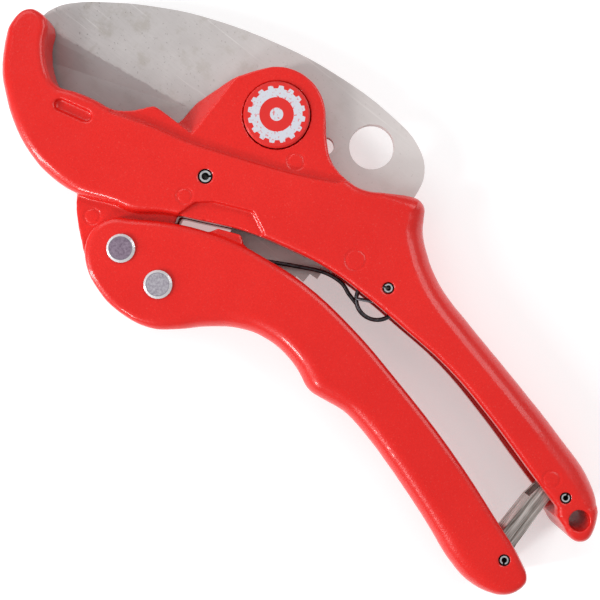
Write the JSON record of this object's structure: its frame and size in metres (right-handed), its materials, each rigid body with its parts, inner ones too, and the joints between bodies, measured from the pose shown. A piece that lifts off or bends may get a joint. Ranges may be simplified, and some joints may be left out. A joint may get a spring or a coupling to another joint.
{
  "type": "ratchet pipe cutter",
  "caption": "Hand ratchet cutter for plastic pipe: hooked jaw frame, pivoting shear blade with toothed tail, spring-opened lever with pawls and a handle latch.",
  "frame": {"origin": "centre of the tool's box on the plane it lies on, with the blade closed and the handles latched", "axes": "+X from the jaw to the ends of the handles, +Y from the lever to the blade's back, +Z through the tool's thickness"},
  "size_m": [0.2339, 0.1, 0.024],
  "materials": {
    "red_paint": "semi-gloss powder paint on cast metal",
    "cap_print": "printed gloss disc, red with pale grey",
    "blade_steel": "ground, lightly rubbed",
    "bright_steel": "zinc-plated, satin",
    "pin_steel": "oiled spring steel",
    "pawl_steel": "hardened, oiled",
    "spring_steel": "dark oiled wire"
  },
  "bodies": {
    "frame": {"frame_body": "red_paint", "pivot_bolt": "bright_steel", "pivot_nut": "bright_steel", "pivot_bush": "bright_steel", "cap_near": "cap_print", "cap_far": "cap_print", "stop_pin": "pin_steel", "spring_pin": "pin_steel", "keeper_pin": "pin_steel", "lever_rivet": "bright_steel", "return_spring": "spring_steel", "hold_pawl_spring": "spring_steel"},
    "blade": {"blade": "blade_steel"},
    "lever": {"lever_body": "red_paint", "feed_pawl_rivet": "bright_steel", "latch_pin": "pin_steel", "pawl_spacer_near": "bright_steel", "pawl_spacer_far": "bright_steel", "feed_pawl_spring": "spring_steel"},
    "feed_pawl": {"feed_pawl": "pawl_steel"},
    "hold_pawl": {"hold_pawl": "pawl_steel"},
    "latch": {"latch_plate": "bright_steel"}
  },
  "joints": [
    {"name": "blade_pivot", "type": "hinge", "parent": "frame", "child": "blade", "pos_m": [-0.0365, 0.0265, 0.012], "axis": [0, 0, -1], "range_deg": [0, 60]},
    {"name": "lever_pivot", "type": "hinge", "parent": "frame", "child": "lever", "pos_m": [-0.0486, -0.0342, 0.012], "axis": [0, 0, -1], "range_deg": [0, 32], "deforming": ["return_spring"]},
    {"name": "feed_pawl_pivot", "type": "hinge", "parent": "lever", "child": "feed_pawl", "pos_m": [-0.0331, -0.0359, 0.012], "axis": [0, 0, 1], "range_deg": [0, 35.2], "deforming": ["feed_pawl_spring"]},
    {"name": "hold_pawl_pivot", "type": "hinge", "parent": "frame", "child": "hold_pawl", "pos_m": [-0.0486, -0.0342, 0.012], "axis": [0, 0, -1], "range_deg": [0, 5], "deforming": ["hold_pawl_spring"]},
    {"name": "latch_pivot", "type": "hinge", "parent": "lever", "child": "latch", "pos_m": [0.1005, -0.0372, 0.012], "axis": [0, 0, 1], "range_deg": [0, 76]}
  ],
  "couplings": [
    {"joint": "feed_pawl_pivot", "follows": "lever_pivot", "ratio": 1.1}
  ]
}
